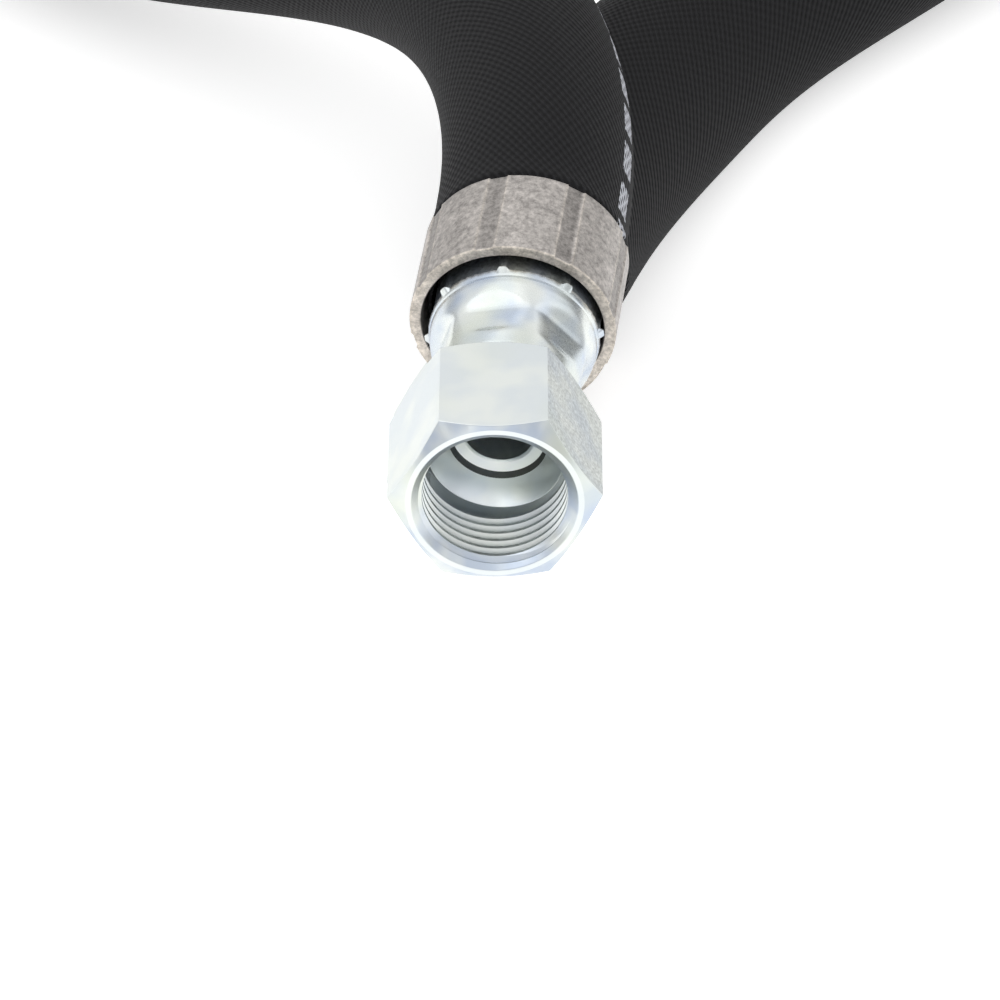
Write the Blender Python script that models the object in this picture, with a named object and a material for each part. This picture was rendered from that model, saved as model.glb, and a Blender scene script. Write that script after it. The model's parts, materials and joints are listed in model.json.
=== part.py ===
"""Hydraulic hose assembly: one rubber hose with two wire braids, in a textile sleeve, with a
swivel-nut fitting crimped on each end. It lies as it would after unpacking: one long loop on a
flat surface, end A lying over end B.

Run with: blender --background --python part.py. Units are metres, +Z is up. End A's nut faces -Y.
Along each fitting, a station is the distance behind the nut's front face.
"""

import math

import bmesh
import bpy
import numpy as np
from mathutils import Matrix, Vector

MM = 0.001

# Clearances
FIT_GAP = 0.30 * MM           # between pieces that touch on the real hose
STACK_GAP = 0.30 * MM         # between end B's turning nut and end A lying over it

# Swivel nut: 1-1/16 in thread, 1-1/4 in across flats
NUT_ACROSS_FLATS = 31.75 * MM
NUT_LENGTH = 25.4 * MM
NUT_FACE_RADIUS = 15.2 * MM   # where the front chamfer starts
NUT_FRONT_CHAMFER = math.radians(32)
NUT_BACK_CHAMFER = math.radians(35)
NUT_BACK_RADIUS = 15.6 * MM
NUT_MOUTH_RADIUS = 14.25 * MM
NUT_MOUTH_DEPTH = 1.8 * MM
THREAD_MINOR_RADIUS = 12.45 * MM
THREAD_DEPTH = 12.2 * MM
CHAMBER_WIDENING = 0.45 * MM  # length of the step from the thread to the chamber
CHAMBER_CLEARANCE = 2.2 * MM  # lets the loose nut tip on the stem's head
RETAINER_RADIUS = 10.6 * MM   # the shoulder that keeps the nut on the head
RETAINER_LENGTH = 1.2 * MM
NUT_SIDES = 30

# Stem: 37 degree seat, head, neck, lock groove and barbed tail
SEAT_DEPTH = 12.7 * MM        # of the seat's rim behind the nut's face
SEAT_RIM_RADIUS = 11.4 * MM
SEAT_ANGLE = math.radians(37)
SEAT_THROAT_RADIUS = 7.7 * MM
THROAT_LENGTH = 1.0 * MM
BORE_RADIUS = 5.95 * MM
HEAD_RADIUS = 11.8 * MM
HEAD_EDGE = 0.3 * MM
HEAD_LENGTH = 6.0 * MM
NECK_RADIUS = 7.4 * MM
STOP_RADIUS = 9.5 * MM
STOP_LENGTH = 2.1 * MM
TAIL_LENGTH = 31.6 * MM
BARB_COUNT = 4
BARB_HEIGHT = 0.45 * MM
BARB_PITCH = 6.4 * MM
LOCK_GROOVE_DEPTH = 0.6 * MM

# Crimp shell
SHELL_CLEARANCE = 0.35 * MM   # over the hose's cover
SHELL_FRONT = 28.2 * MM
SHELL_LENGTH = 49.8 * MM
SHELL_LIP = 1.9 * MM          # the ring inside it that is pressed into the stem's groove
LIP_FRONT = 40.7 * MM
NOSE = (                      # station and radius along its ridges, from the front to the dome
    (28.2 * MM, 11.6 * MM),
    (28.7 * MM, 12.2 * MM),
    (31.4 * MM, 12.6 * MM),
    (34.4 * MM, 13.05 * MM),
    (37.2 * MM, 13.6 * MM),
    (38.8 * MM, 14.0 * MM),
    (40.4 * MM, 14.4 * MM),
    (41.8 * MM, 14.68 * MM),
)
SCOOPS = (                    # station, and how far the six jaw marks lie from the axis there
    (31.4 * MM, 12.1 * MM),
    (34.4 * MM, 12.2 * MM),
    (37.2 * MM, 12.3 * MM),
    (38.8 * MM, 13.2 * MM),
)
SCOOP_COUNT = 6
SCOOP_TURN = math.radians(11.5)  # of the top scoop, anticlockwise on end A seen from its mouth
DOME_END = 42.8 * MM
SHELL_DOME_WALL = 1.4 * MM
SHELL_BARREL_WALL = 1.3 * MM
SHELL_BAND_WALL = 1.6 * MM
SHELL_BAND_LENGTH = 1.3 * MM
RIDGE_COUNT = 8
RIDGE_TURN = math.radians(6)   # of the top ridge, anticlockwise on end A seen from its mouth
RIDGE_BASE = math.radians(4.2)
RIDGE_TOP = math.radians(2.3)
RIDGE_HEIGHT = 0.4 * MM
NIB_HEIGHT = 0.65 * MM
NIB_LENGTH = 1.0 * MM

# Sleeve collar
COLLAR_STATION = 46.8 * MM
COLLAR_LENGTH = 19.7 * MM
COLLAR_WALL = 2.1 * MM
COLLAR_EDGE = 0.3 * MM
STRIPE_COUNT = 8
STRIPE_TURN = math.radians(14.6)
STRIPE_HALF = math.radians(4.8)
STRIPE_EDGE = math.radians(1.0)
STRIPE_DEPTH = 0.25 * MM

# Hose layers, from the bore out: wall of each
HOSE_BORE_RADIUS = 8.0 * MM
TUBE_WALL = 1.9 * MM
BRAID_WALL = 0.4 * MM
FRICTION_WALL = 0.3 * MM
COVER_WALL = 0.8 * MM
HOSE_START = 45.4 * MM        # station of the cut end, just behind the stem's stop
HOSE_SIDES = 10

# Textile sleeve over the hose
SLEEVE_RADIUS = 17.4 * MM
SLEEVE_WALL = 1.1 * MM
SLEEVE_PINCHED_WALL = 0.5 * MM
SLEEVE_START = 51.0 * MM
SLEEVE_FLARE = 4.0 * MM       # length over which it opens behind the collar
SLEEVE_SIDES = 16
ROUTE_STEPS = 25

# How the two ends lie. A nut is loose, so it tips on its stem about the seat.
PIVOT_STATION = 12.5 * MM
NUT_DROP = 0.5 * MM
END_A_YAW = math.radians(5.9)
END_A_PITCH = math.radians(6.5)
END_B_YAW = math.radians(7.5)
NUT_B_YAW = math.radians(2.5)
NUT_B_BEHIND = 48.0 * MM      # nut B's face behind nut A's face
NUT_B_LEFT = 2.0 * MM

# The free hose from end A round to end B, in millimetres from the middle of nut A's face on the
# surface that the assembly lies on.
ROUTE = (
    (6.5, 111.5, 58.0),
    (-8.5, 165.5, 52.0),
    (-40.5, 209.5, 37.0),
    (-83.5, 244.0, 23.5),
    (-122.5, 286.5, 18.5),
    (-143.5, 344.0, 17.5),
    (-138.5, 406.0, 17.5),
    (-108.5, 460.0, 17.5),
    (-58.0, 496.0, 17.5),
    (2.5, 508.0, 17.5),
    (60.0, 494.0, 17.5),
    (107.0, 458.5, 17.5),
    (135.0, 408.5, 17.5),
    (142.0, 353.5, 17.5),
    (127.5, 300.5, 17.5),
    (94.0, 255.0, 17.5),
    (43.5, 206.5, 17.5),
    (28.0, 183.0, 17.8),
)

# Sizes that follow from those above
NUT_CORNER_RADIUS = NUT_ACROSS_FLATS / 2 / math.cos(math.radians(30))
CHAMBER_RADIUS = HEAD_RADIUS + CHAMBER_CLEARANCE
SHELL_END = SHELL_FRONT + SHELL_LENGTH
TAIL_RADIUS = HOSE_BORE_RADIUS * math.cos(math.pi / HOSE_SIDES) - FIT_GAP
COVER_RADIUS = HOSE_BORE_RADIUS + TUBE_WALL + 2 * BRAID_WALL + FRICTION_WALL + COVER_WALL + 4 * FIT_GAP
SHELL_BORE_RADIUS = COVER_RADIUS + SHELL_CLEARANCE
SHELL_DOME_RADIUS = SHELL_BORE_RADIUS + SHELL_DOME_WALL
SHELL_BARREL_RADIUS = SHELL_BORE_RADIUS + SHELL_BARREL_WALL
SHELL_BAND_RADIUS = SHELL_BORE_RADIUS + SHELL_BAND_WALL
SLEEVE_PINCHED_RADIUS = SHELL_BARREL_RADIUS + RIDGE_HEIGHT + FIT_GAP
COLLAR_BORE_RADIUS = SLEEVE_PINCHED_RADIUS + SLEEVE_PINCHED_WALL + FIT_GAP
COLLAR_RADIUS = COLLAR_BORE_RADIUS + COLLAR_WALL
COLLAR_END = COLLAR_STATION + COLLAR_LENGTH


def clear_scene():
    for obj in list(bpy.data.objects):
        bpy.data.objects.remove(obj, do_unlink=True)


def material(name, colour, roughness, metallic):
    made = bpy.data.materials.new(name)
    made.use_nodes = True
    shader = made.node_tree.nodes["Principled BSDF"]
    shader.inputs["Base Color"].default_value = (*colour, 1)
    shader.inputs["Roughness"].default_value = roughness
    shader.inputs["Metallic"].default_value = metallic
    made.diffuse_color = (*colour, 1)
    return made


def direction(yaw, pitch):
    """The way back along a fitting: yaw turns it to the right, pitch lifts its rear."""
    return Vector((math.sin(yaw) * math.cos(pitch), math.cos(yaw) * math.cos(pitch), math.sin(pitch)))


def ring_frame(along):
    """Two unit vectors square to the given one: to the right and up."""
    right = along.cross(Vector((0, 0, 1))).normalized()
    return right, right.cross(along)


def placed(origin, along):
    """A matrix that puts a shape made along +Z at origin, with its +X on the upper side."""
    right, up = ring_frame(along)
    return Matrix.Translation(origin) @ Matrix((up, right, along)).transposed().to_4x4()


def closed_rings(rings):
    """A closed ring-shaped mesh: each ring joins the next, and the last joins the first."""
    mesh = bmesh.new()
    rows = [[mesh.verts.new(point) for point in ring] for ring in rings]
    for row, after in zip(rows, rows[1:] + rows[:1]):
        for j, vert in enumerate(row):
            k = (j + 1) % len(row)
            mesh.faces.new((vert, row[k], after[k], after[j]))
    bmesh.ops.recalc_face_normals(mesh, faces=mesh.faces)
    return mesh


def add_object(name, mesh, finish, parent, matrix=None):
    data = bpy.data.meshes.new(name)
    mesh.to_mesh(data)
    mesh.free()
    data.shade_smooth()
    data.set_sharp_from_angle(angle=math.radians(35))
    data.materials.append(finish)
    made = bpy.data.objects.new(name, data)
    bpy.context.collection.objects.link(made)
    made.parent = parent
    if matrix is not None:
        made.matrix_local = matrix
    return made


def turned(profile, angles):
    """Rings of a profile of (station, radius) pairs, where a radius may be a function of the angle."""
    rings = []
    for station, radius in profile:
        ring = []
        for angle in angles:
            r = radius(angle) if callable(radius) else radius
            s = station(angle) if callable(station) else station
            ring.append(Vector((r * math.cos(angle), r * math.sin(angle), s)))
        rings.append(ring)
    return rings


def even_angles(count, start=0.0):
    return [start + math.tau * k / count for k in range(count)]


def from_flat(angle):
    """The angle from the middle of the nearest hex flat; one flat faces up."""
    sixth = math.radians(60)
    return (angle + sixth / 2) % sixth - sixth / 2


def nut_mesh():
    """Hex, mouth, thread bore, head chamber and the shoulder that holds it on the stem."""
    half = NUT_ACROSS_FLATS / 2

    def hexagon(angle):
        return half / math.cos(from_flat(angle))

    def front_edge(angle):
        return (hexagon(angle) - NUT_FACE_RADIUS) * math.tan(NUT_FRONT_CHAMFER)

    def back_edge(angle):
        return NUT_LENGTH - (hexagon(angle) - NUT_BACK_RADIUS) * math.tan(NUT_BACK_CHAMFER)

    cone = CHAMBER_RADIUS - RETAINER_RADIUS
    chamber_end = SEAT_DEPTH + HEAD_LENGTH + 1.5 * MM
    profile = [
        (0, NUT_MOUTH_RADIUS),
        (0, NUT_FACE_RADIUS),
        (front_edge, hexagon),
        (back_edge, hexagon),
        (NUT_LENGTH, NUT_BACK_RADIUS),
        (NUT_LENGTH, RETAINER_RADIUS + 0.6 * MM),
        (chamber_end + cone + RETAINER_LENGTH, RETAINER_RADIUS),
        (chamber_end + cone, RETAINER_RADIUS),
        (chamber_end, CHAMBER_RADIUS),
        (THREAD_DEPTH + CHAMBER_WIDENING, CHAMBER_RADIUS),
        (THREAD_DEPTH, THREAD_MINOR_RADIUS),
        (NUT_MOUTH_DEPTH, THREAD_MINOR_RADIUS),
    ]
    return closed_rings(turned(profile, even_angles(NUT_SIDES, math.radians(30))))


def stem_mesh():
    """Seat, head, neck, lock groove, stop and barbed tail, bored through."""
    seat_length = (SEAT_RIM_RADIUS - SEAT_THROAT_RADIUS) / math.tan(SEAT_ANGLE)
    throat_end = SEAT_DEPTH + seat_length + THROAT_LENGTH
    head_end = SEAT_DEPTH + HEAD_LENGTH
    groove_start = LIP_FRONT - FIT_GAP
    groove_end = LIP_FRONT + SHELL_LIP + FIT_GAP
    groove_radius = NECK_RADIUS - LOCK_GROOVE_DEPTH
    stop_end = groove_end + STOP_LENGTH
    tail_end = stop_end + TAIL_LENGTH
    profile = [
        (SEAT_DEPTH, SEAT_RIM_RADIUS),
        (SEAT_DEPTH, HEAD_RADIUS - HEAD_EDGE),
        (SEAT_DEPTH + HEAD_EDGE, HEAD_RADIUS),
        (head_end, HEAD_RADIUS),
        (head_end + HEAD_RADIUS - NECK_RADIUS, NECK_RADIUS),
        (groove_start, NECK_RADIUS),
        (groove_start, groove_radius),
        (groove_end, groove_radius),
        (groove_end, STOP_RADIUS),
        (stop_end, STOP_RADIUS),
        (stop_end, TAIL_RADIUS - BARB_HEIGHT),
    ]
    for k in range(BARB_COUNT):
        crest = stop_end + 1.5 * MM + BARB_PITCH * k
        profile.append((crest, TAIL_RADIUS))
        profile.append((crest + BARB_PITCH - 1.2 * MM, TAIL_RADIUS - BARB_HEIGHT))
    profile += [
        (tail_end, TAIL_RADIUS - BARB_HEIGHT),
        (tail_end, BORE_RADIUS),
        (throat_end + 0.5 * MM, BORE_RADIUS),
        (throat_end, BORE_RADIUS + 0.8 * MM),
        (throat_end, SEAT_THROAT_RADIUS),
        (SEAT_DEPTH + seat_length, SEAT_THROAT_RADIUS),
    ]
    return closed_rings(turned(profile, even_angles(24)))


def shell_mesh(hand):
    """Nose with six jaw marks, nibbed band, and a barrel with eight ridges where its jaws met."""
    share = math.tau / RIDGE_COUNT
    offsets = (-RIDGE_BASE, -RIDGE_TOP, RIDGE_TOP, RIDGE_BASE, share / 2)
    first = hand * RIDGE_TURN
    angles = [(first + share * k + offset) % math.tau for k in range(RIDGE_COUNT) for offset in offsets]
    scoop_share = math.tau / SCOOP_COUNT
    for k in range(SCOOP_COUNT):
        for degrees in (-24, -12, 0, 12, 24):
            angle = (hand * SCOOP_TURN + scoop_share * k + math.radians(degrees)) % math.tau
            if min(abs(angle - other) for other in angles) > math.radians(1.5):
                angles.append(angle)
    angles.sort()

    def ridged(radius, height):
        def at(angle):
            away = abs((angle - first + share / 2) % share - share / 2)
            return radius + height if away < (RIDGE_BASE + RIDGE_TOP) / 2 else radius
        return at

    def scooped(radius, depth):
        def at(angle):
            turn = angle - hand * SCOOP_TURN
            away = (turn + scoop_share / 2) % scoop_share - scoop_share / 2
            return min(radius, depth / math.cos(away))
        return at

    lock_radius = NECK_RADIUS - LOCK_GROOVE_DEPTH + FIT_GAP
    depths = dict(SCOOPS)
    profile = [(SHELL_FRONT, NECK_RADIUS + FIT_GAP)]
    for station, radius in NOSE:
        depth = depths.get(station)
        profile.append((station, scooped(radius, depth) if depth else radius))
    band = DOME_END + 0.4 * MM
    band_end = band + SHELL_BAND_LENGTH
    profile += [
        (DOME_END, SHELL_DOME_RADIUS),
        (band, SHELL_BAND_RADIUS),
        (band_end - NIB_LENGTH, ridged(SHELL_BAND_RADIUS, NIB_HEIGHT)),
        (band_end, ridged(SHELL_BAND_RADIUS, NIB_HEIGHT)),
        (band_end + 0.3 * MM, ridged(SHELL_BARREL_RADIUS, RIDGE_HEIGHT)),
        (SHELL_END - 2.0 * MM, ridged(SHELL_BARREL_RADIUS, RIDGE_HEIGHT)),
        (SHELL_END - 1.4 * MM, SHELL_BAND_RADIUS),
        (SHELL_END, SHELL_BAND_RADIUS),
        (SHELL_END, SHELL_BORE_RADIUS + 0.4 * MM),
        (SHELL_END - 0.6 * MM, SHELL_BORE_RADIUS),
        (LIP_FRONT + SHELL_LIP, SHELL_BORE_RADIUS),
        (LIP_FRONT + SHELL_LIP, lock_radius),
        (LIP_FRONT, lock_radius),
        (LIP_FRONT, NECK_RADIUS + FIT_GAP),
    ]
    return closed_rings(turned(profile, angles))


def collar_mesh(hand):
    """A plain steel ring that clamps the sleeve, with eight flattened crimp stripes."""
    share = math.tau / STRIPE_COUNT
    outer = STRIPE_HALF + STRIPE_EDGE
    step = (share - 2 * outer) / 3
    offsets = (-outer, -STRIPE_HALF, STRIPE_HALF, outer, outer + step, outer + 2 * step)
    first = hand * STRIPE_TURN
    angles = [first + share * k + offset for k in range(STRIPE_COUNT) for offset in offsets]

    def striped(radius):
        def at(angle):
            away = abs((angle - first + share / 2) % share - share / 2)
            return radius - STRIPE_DEPTH if away < STRIPE_HALF + STRIPE_EDGE / 2 else radius
        return at

    profile = [
        (COLLAR_STATION, COLLAR_BORE_RADIUS),
        (COLLAR_STATION, striped(COLLAR_RADIUS - COLLAR_EDGE)),
        (COLLAR_STATION + COLLAR_EDGE, striped(COLLAR_RADIUS)),
        (COLLAR_END - COLLAR_EDGE, striped(COLLAR_RADIUS)),
        (COLLAR_END, striped(COLLAR_RADIUS - COLLAR_EDGE)),
        (COLLAR_END, COLLAR_BORE_RADIUS),
    ]
    return closed_rings(turned(profile, angles))


class Fitting:
    """Where one end lies: its nut's axis and its stem's axis, which cross at the loose nut's pivot."""

    def __init__(self, nut_face, nut_along, stem_along):
        self.nut_face = nut_face
        self.nut_along = nut_along
        self.stem_along = stem_along
        self.pivot = nut_face + nut_along * PIVOT_STATION + Vector((0, 0, NUT_DROP))

    def at(self, station):
        return self.pivot + self.stem_along * (station - PIVOT_STATION)

    def stem_matrix(self):
        return placed(self.at(0), self.stem_along)

    def nut_matrix(self):
        return placed(self.nut_face, self.nut_along)


def fittings():
    """Both ends, end B on its nut's flat and its collar, end A just clear of end B's turning nut."""
    reach = COLLAR_STATION - PIVOT_STATION
    rise = COLLAR_RADIUS - NUT_ACROSS_FLATS / 2 - NUT_DROP
    end_b_pitch = math.asin(rise / reach)
    face_b = Vector((-NUT_B_LEFT, NUT_B_BEHIND, NUT_ACROSS_FLATS / 2))
    end_b = Fitting(face_b, direction(NUT_B_YAW, 0), direction(END_B_YAW, end_b_pitch))
    collar_sag = COLLAR_RADIUS * math.cos(END_A_PITCH) - NUT_DROP - reach * math.sin(END_A_PITCH)
    height_a = NUT_ACROSS_FLATS / 2 + NUT_CORNER_RADIUS + STACK_GAP + collar_sag
    end_a = Fitting(Vector((0, 0, height_a)), direction(0, 0), direction(END_A_YAW, END_A_PITCH))
    return end_a, end_b


def smooth_curve(points, start_along, end_along):
    """A function of distance along one smooth curve through the points, leaving and arriving straight."""
    knots = np.array([tuple(p) for p in points])
    gaps = np.linalg.norm(np.diff(knots, axis=0), axis=1)
    along = np.concatenate(([0.0], np.cumsum(gaps)))
    slopes = np.diff(knots, axis=0) / gaps[:, None]
    count = len(knots)
    matrix = np.zeros((count, count))
    right = np.zeros((count, 3))
    matrix[0, :2] = 2 * gaps[0], gaps[0]
    matrix[-1, -2:] = gaps[-1], 2 * gaps[-1]
    right[0] = 6 * (slopes[0] - np.array(start_along))
    right[-1] = 6 * (np.array(end_along) - slopes[-1])
    for i in range(1, count - 1):
        matrix[i, i - 1 : i + 2] = gaps[i - 1], 2 * (gaps[i - 1] + gaps[i]), gaps[i]
        right[i] = 6 * (slopes[i] - slopes[i - 1])
    bend = np.linalg.solve(matrix, right)

    def at(distance):
        i = int(np.clip(np.searchsorted(along, distance) - 1, 0, count - 2))
        a, b, h = along[i + 1] - distance, distance - along[i], gaps[i]
        curved = (bend[i] * a**3 + bend[i + 1] * b**3) / (6 * h)
        straight = (knots[i] / h - bend[i] * h / 6) * a + (knots[i + 1] / h - bend[i + 1] * h / 6) * b
        return Vector(curved + straight)

    return at, along[-1]


def free_route(end_a, end_b):
    """Points and directions along the free hose, from end A's shell to end B's shell."""
    points = [end_a.at(SHELL_END)] + [Vector(p) * MM for p in ROUTE] + [end_b.at(SHELL_END)]
    at, length = smooth_curve(points, end_a.stem_along, -end_b.stem_along)
    route = []
    for k in range(1, ROUTE_STEPS):
        distance = length * k / ROUTE_STEPS
        ahead = at(min(distance + MM, length)) - at(max(distance - MM, 0))
        route.append((at(distance), ahead.normalized()))
    return route


def hose_stations(end_a, end_b, stations):
    """The same stations on both ends, with the free route between them."""
    start = [(end_a.at(s), end_a.stem_along) for s in stations]
    finish = [(end_b.at(s), -end_b.stem_along) for s in reversed(stations)]
    return start + free_route(end_a, end_b) + finish


def tube_rings(path, outer, inner, sides, turn):
    """Outer rings one way along the path and inner rings back, so that both ends close."""
    def ring(place, radius):
        centre, along = place
        right, up = ring_frame(along)
        return [
            centre + (right * math.cos(angle) + up * math.sin(angle)) * radius
            for angle in even_angles(sides, turn)
        ]
    outside = [ring(place, radius) for place, radius in zip(path, outer)]
    inside = [ring(place, radius) for place, radius in zip(path, inner)]
    return closed_rings(outside + inside[::-1])


def add_hose_layer(name, inner, outer, finish, parent, ends):
    path = hose_stations(*ends, (HOSE_START, SHELL_END))
    count = len(path)
    mesh = tube_rings(path, [outer] * count, [inner] * count, HOSE_SIDES, 0)
    return add_object(name, mesh, finish, parent)


def add_sleeve(finish, parent, ends):
    """Pinched thin inside each collar, and opening to its full size behind it."""
    pinched = SLEEVE_PINCHED_RADIUS + SLEEVE_PINCHED_WALL
    stations = (SLEEVE_START, COLLAR_END, COLLAR_END + SLEEVE_FLARE, SHELL_END)
    outer = [pinched, pinched, SLEEVE_RADIUS, SLEEVE_RADIUS]
    inner = [SLEEVE_PINCHED_RADIUS] * 2 + [SLEEVE_RADIUS - SLEEVE_WALL] * 2
    path = hose_stations(*ends, stations)
    free = len(path) - 2 * len(stations)
    outer = outer + [SLEEVE_RADIUS] * free + outer[::-1]
    inner = inner + [SLEEVE_RADIUS - SLEEVE_WALL] * free + inner[::-1]
    turn = math.radians(90) + RIDGE_TURN
    mesh = tube_rings(path, outer, inner, SLEEVE_SIDES, turn)
    return add_object("textile_sleeve", mesh, finish, parent)


def add_hose(parent, ends):
    rubber = material("black_rubber", (0.012, 0.012, 0.012), 0.6, 0.0)
    wire = material("brassed_steel_wire", (0.55, 0.42, 0.22), 0.35, 1.0)
    textile = material("black_woven_nylon", (0.018, 0.018, 0.02), 0.85, 0.0)
    layers = (
        ("hose_inner_tube", TUBE_WALL, rubber),
        ("hose_inner_braid", BRAID_WALL, wire),
        ("hose_friction_layer", FRICTION_WALL, rubber),
        ("hose_outer_braid", BRAID_WALL, wire),
        ("hose_cover", COVER_WALL, rubber),
    )
    inner = HOSE_BORE_RADIUS
    for name, wall, finish in layers:
        add_hose_layer(name, inner, inner + wall, finish, parent, ends)
        inner += wall + FIT_GAP
    add_sleeve(textile, parent, ends)


def add_end(letter, end, hand, parent):
    """One end's four metal pieces. Hand is -1 or 1, the way its crimp marks are turned from the top."""
    plated = material("zinc_plated_steel_" + letter, (0.72, 0.75, 0.76), 0.28, 1.0)
    bare = material("raw_steel_" + letter, (0.46, 0.44, 0.42), 0.5, 1.0)
    return [
        add_object("swivel_nut_" + letter, nut_mesh(), plated, parent, end.nut_matrix()),
        add_object("stem_" + letter, stem_mesh(), plated, parent, end.stem_matrix()),
        add_object("crimp_shell_" + letter, shell_mesh(hand), plated, parent, end.stem_matrix()),
        add_object("sleeve_collar_" + letter, collar_mesh(hand), bare, parent, end.stem_matrix()),
    ]


def centre_on_origin(root, pieces):
    """Moves the whole assembly so that the box round its two ends stands on the origin."""
    bpy.context.view_layer.update()
    corners = [piece.matrix_world @ vert.co for piece in pieces for vert in piece.data.vertices]
    low = [min(corner[axis] for corner in corners) for axis in range(3)]
    high = [max(corner[axis] for corner in corners) for axis in range(3)]
    root.location = (-(low[0] + high[0]) / 2, -(low[1] + high[1]) / 2, -low[2])


def main():
    clear_scene()
    root = bpy.data.objects.new("hose_assembly", None)
    bpy.context.collection.objects.link(root)
    ends = fittings()
    add_hose(root, ends)
    pieces = add_end("a", ends[0], -1, root) + add_end("b", ends[1], 1, root)
    centre_on_origin(root, pieces)


main()
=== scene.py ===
"""Looks for a hydraulic hose assembly: zinc-plated swivel nuts with real threads, crimped shells,
raw steel sleeve collars and a woven black sleeve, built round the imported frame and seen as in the
photograph. Shapes are worked out in millimetres along each fitting, then placed in metres.
"""

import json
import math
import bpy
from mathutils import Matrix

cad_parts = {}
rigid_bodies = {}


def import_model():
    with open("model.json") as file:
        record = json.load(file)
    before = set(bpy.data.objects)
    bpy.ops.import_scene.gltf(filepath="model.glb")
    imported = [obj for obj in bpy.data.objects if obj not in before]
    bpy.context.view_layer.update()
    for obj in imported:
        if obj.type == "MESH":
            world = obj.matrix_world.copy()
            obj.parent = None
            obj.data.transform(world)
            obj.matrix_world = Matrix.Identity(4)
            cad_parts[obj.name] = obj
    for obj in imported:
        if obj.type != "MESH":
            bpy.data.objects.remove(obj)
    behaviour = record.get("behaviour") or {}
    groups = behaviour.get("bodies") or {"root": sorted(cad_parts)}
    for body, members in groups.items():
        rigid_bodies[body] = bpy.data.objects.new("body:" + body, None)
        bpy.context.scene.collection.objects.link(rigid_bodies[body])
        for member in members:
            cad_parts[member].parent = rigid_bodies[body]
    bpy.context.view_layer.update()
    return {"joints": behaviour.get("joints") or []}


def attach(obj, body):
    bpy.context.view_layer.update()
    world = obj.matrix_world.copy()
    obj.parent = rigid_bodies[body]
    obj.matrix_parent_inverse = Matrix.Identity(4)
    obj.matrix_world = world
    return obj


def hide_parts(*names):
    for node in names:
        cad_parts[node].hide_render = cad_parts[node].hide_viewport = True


bl_info = {
    "name": "Hydraulic Hose Assembly",
    "version": (1, 0, 0),
    "blender": (4, 5, 0),
    "location": "3D View > Sidebar > Hose",
    "description": "Builds the visible pieces of a hydraulic hose assembly round its packed frame",
    "category": "Object",
}

import bmesh
import bpy
import numpy as np
from bpy.props import FloatProperty, FloatVectorProperty, PointerProperty
from bpy.types import Operator, Panel, PropertyGroup
from mathutils import Matrix, Vector

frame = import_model()

MM = 0.001

# Where the ends lie. The nuts' places come from the frame's joints.
NUT_HINGE = {joint["child"]: joint for joint in frame["joints"]}
PIVOT_STATION = 12.5
NUT_DROP = 0.5
STEM_TURNS = {"a": (5.9, 6.5), "b": (7.5, 3.1336)}
CRIMP_HAND = {"a": -1, "b": 1}

# Swivel nut
HEX_HALF = 31.75 / 2
HEX_CORNER = HEX_HALF / math.cos(math.radians(30))
HEX_LENGTH = 25.4
FACE_RADIUS = 15.2
FRONT_CHAMFER = math.tan(math.radians(32))
BACK_RADIUS = 15.6
BACK_CHAMFER = math.tan(math.radians(35))
MOUTH_RADIUS = 14.25
MOUTH_DEPTH = 1.8
THREAD_MINOR = 12.45
THREAD_MAJOR = 13.495
THREAD_END = 12.9
THREAD_LAST_LAND = 12.9
THREAD_OVERLAP = 0.25
THREAD_RUN_IN = -1.0
THREAD_RUN_OUT = 0.9
THREAD_TURNS = 9
THREAD_STEPS = 120
CHAMBER_RADIUS = 14.0
CHAMBER_END = 20.2
CHAMBER_CHAMFER = 0.45
RETAINER_RADIUS = 10.6
RETAINER_CHAMFER = 0.6
RETAINER_LENGTH = 1.8
NUT_STEPS = 180
# The flat turned this far round, the upper right one, gets a darker speckled finish: the speckle is
# scuffing and the overall darkening is painted shade on the right-hand flat.
SCUFFED_FLAT = 60.0
FLAT_FACING = 0.995
CHAMFER_FACING = (-0.95, -0.6)
CHAMFER_REACH = 3.0

# Stem
SEAT_DEPTH = 12.7
SEAT_RIM = 11.62
SEAT_SLOPE = math.tan(math.radians(37))
THROAT_RADIUS = 8.6
THROAT_END_RADIUS = 8.1
THROAT_LENGTH = 1.2
STEP_RADIUS = 6.35
STEP_SLOPE = 0.3
BORE_RADIUS = 5.95
HEAD_RADIUS = 11.8
HEAD_LENGTH = 6.0
NECK_RADIUS = 7.4
GROOVE_RADIUS = 6.8
GROOVE_LENGTH = 2.2
GROOVE_PLAY = 0.3
STOP_RADIUS = 9.5
STOP_LENGTH = 2.1
TAIL_RADIUS = 7.3
TAIL_END = 76.5
BARB_COUNT = 4
BARB_PITCH = 6.4
BARB_LENGTH = 5.2
BARB_START = 3.6
BARB_DEPTH = 0.45
STEM_STEPS = 120
STEM_ROUNDING = 0.08
ROUNDED_END = 22

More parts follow.
